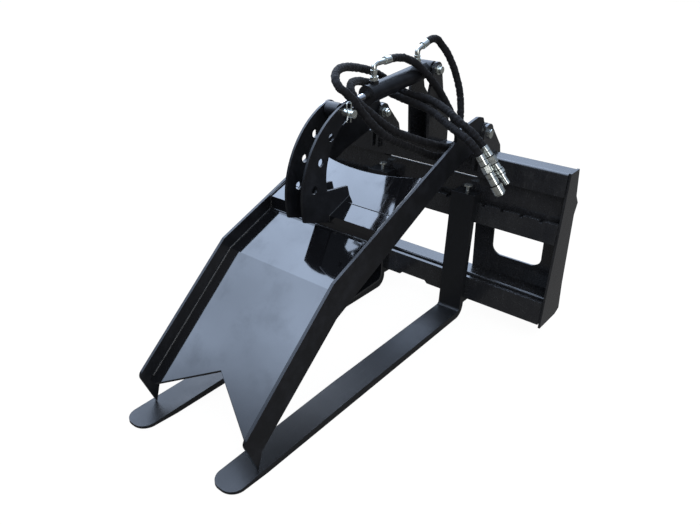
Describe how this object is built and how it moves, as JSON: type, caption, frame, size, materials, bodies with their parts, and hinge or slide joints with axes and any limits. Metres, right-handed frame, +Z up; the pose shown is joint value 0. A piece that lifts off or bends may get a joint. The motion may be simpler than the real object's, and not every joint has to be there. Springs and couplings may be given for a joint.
{
  "type": "fork grapple",
  "caption": "Skid-steer pallet-fork carriage with sliding hook-on forks and a hydraulic top clamp arm that presses a load onto the forks.",
  "frame": {"origin": "centre of the bounding box at ground level, without hoses and couplers", "axes": "+X to the carriage's right seen from behind the forks' tips, +Y from the fork tips to the machine, +Z up"},
  "size_m": [1.126, 1.451, 1.0625],
  "materials": {
    "black_paint": "gloss black paint",
    "fork_paint": "satin dark grey paint on forged steel",
    "zinc_plate": "bright zinc plate",
    "chrome_rod": "hard chrome, polished",
    "bare_steel": "machined, hidden in the barrel",
    "hose_sleeve": "woven sleeve over a rubber hose"
  },
  "bodies": {
    "carriage": {"end_plate_left": "black_paint", "end_plate_right": "black_paint", "upper_fork_rail": "black_paint", "lower_fork_rail": "black_paint", "upper_rail_web": "black_paint", "lower_rail_backing": "black_paint", "top_flange": "black_paint", "back_plate": "black_paint", "lower_ledge": "black_paint", "mount_plate_left": "black_paint", "mount_plate_right": "black_paint", "pivot_ears_left": "black_paint", "pivot_ears_right": "black_paint", "pivot_bolt_left": "zinc_plate", "pivot_bolt_right": "zinc_plate", "pivot_nut_left": "zinc_plate", "pivot_nut_right": "zinc_plate", "tower_plate_left": "black_paint", "tower_plate_right": "black_paint", "tower_web": "black_paint", "tower_pin": "zinc_plate", "hose_front": "hose_sleeve", "hose_rear": "hose_sleeve", "coupler_male": "zinc_plate", "coupler_female": "zinc_plate"},
    "arm": {"arm_plate_left": "black_paint", "arm_plate_right": "black_paint", "arm_hub_left": "zinc_plate", "arm_hub_right": "zinc_plate", "lower_deck": "black_paint", "upper_deck": "black_paint", "belly_beam": "black_paint", "belly_tie": "black_paint", "adjuster_plate_left": "black_paint", "adjuster_plate_right": "black_paint", "link_pin": "zinc_plate"},
    "barrel": {"cylinder_barrel": "black_paint", "barrel_base_eye": "black_paint", "cylinder_gland": "black_paint", "port_boss_front": "black_paint", "port_boss_rear": "black_paint", "adapter_front": "zinc_plate", "adapter_rear": "zinc_plate", "elbow_front": "zinc_plate", "elbow_rear": "zinc_plate"},
    "rod": {"cylinder_rod": "chrome_rod", "cylinder_piston": "bare_steel", "rod_eye": "black_paint"},
    "clip": {"hairpin_clip": "zinc_plate"},
    "fork_left": {"fork_left": "fork_paint"},
    "fork_right": {"fork_right": "fork_paint"},
    "lock_left": {"lock_pin_left": "zinc_plate"},
    "lock_right": {"lock_pin_right": "zinc_plate"},
    "sleeve": {"coupler_sleeve": "zinc_plate"}
  },
  "joints": [
    {"name": "arm_pivot", "type": "hinge", "parent": "carriage", "child": "arm", "pos_m": [0, 0.5375, 0.748], "axis": [-1, 0, 0], "range_deg": [0, 25]},
    {"name": "cylinder_swing", "type": "hinge", "parent": "carriage", "child": "barrel", "pos_m": [0, 0.4855, 0.948], "axis": [-1, 0, 0], "range_deg": [0, 29.1], "deforming": ["hose_front", "hose_rear"]},
    {"name": "rod_slide", "type": "slide", "parent": "barrel", "child": "rod", "axis": [0, -0.9916, -0.1294], "range_m": [-0.0845, 0]},
    {"name": "clip_pull", "type": "slide", "parent": "arm", "child": "clip", "axis": [0, 0, 1], "range_m": [0, 0.045]},
    {"name": "fork_left_slide", "type": "slide", "parent": "carriage", "child": "fork_left", "axis": [-1, 0, 0], "range_m": [-0.075, 0.3]},
    {"name": "fork_right_slide", "type": "slide", "parent": "carriage", "child": "fork_right", "axis": [1, 0, 0], "range_m": [-0.075, 0.3]},
    {"name": "lock_pin_left_drop", "type": "slide", "parent": "fork_left", "child": "lock_left", "axis": [0, 0, 1], "range_m": [-0.007, 0]},
    {"name": "lock_pin_right_drop", "type": "slide", "parent": "fork_right", "child": "lock_right", "axis": [0, 0, 1], "range_m": [-0.007, 0]},
    {"name": "sleeve_pull", "type": "slide", "parent": "carriage", "child": "sleeve", "axis": [-0.5401, -0.2025, 0.8169], "range_m": [0, 0.008]}
  ],
  "couplings": [
    {"joint": "cylinder_swing", "follows": "arm_pivot", "ratio": 1.1351},
    {"joint": "rod_slide", "follows": "arm_pivot", "m_per_rad": -0.1936}
  ]
}
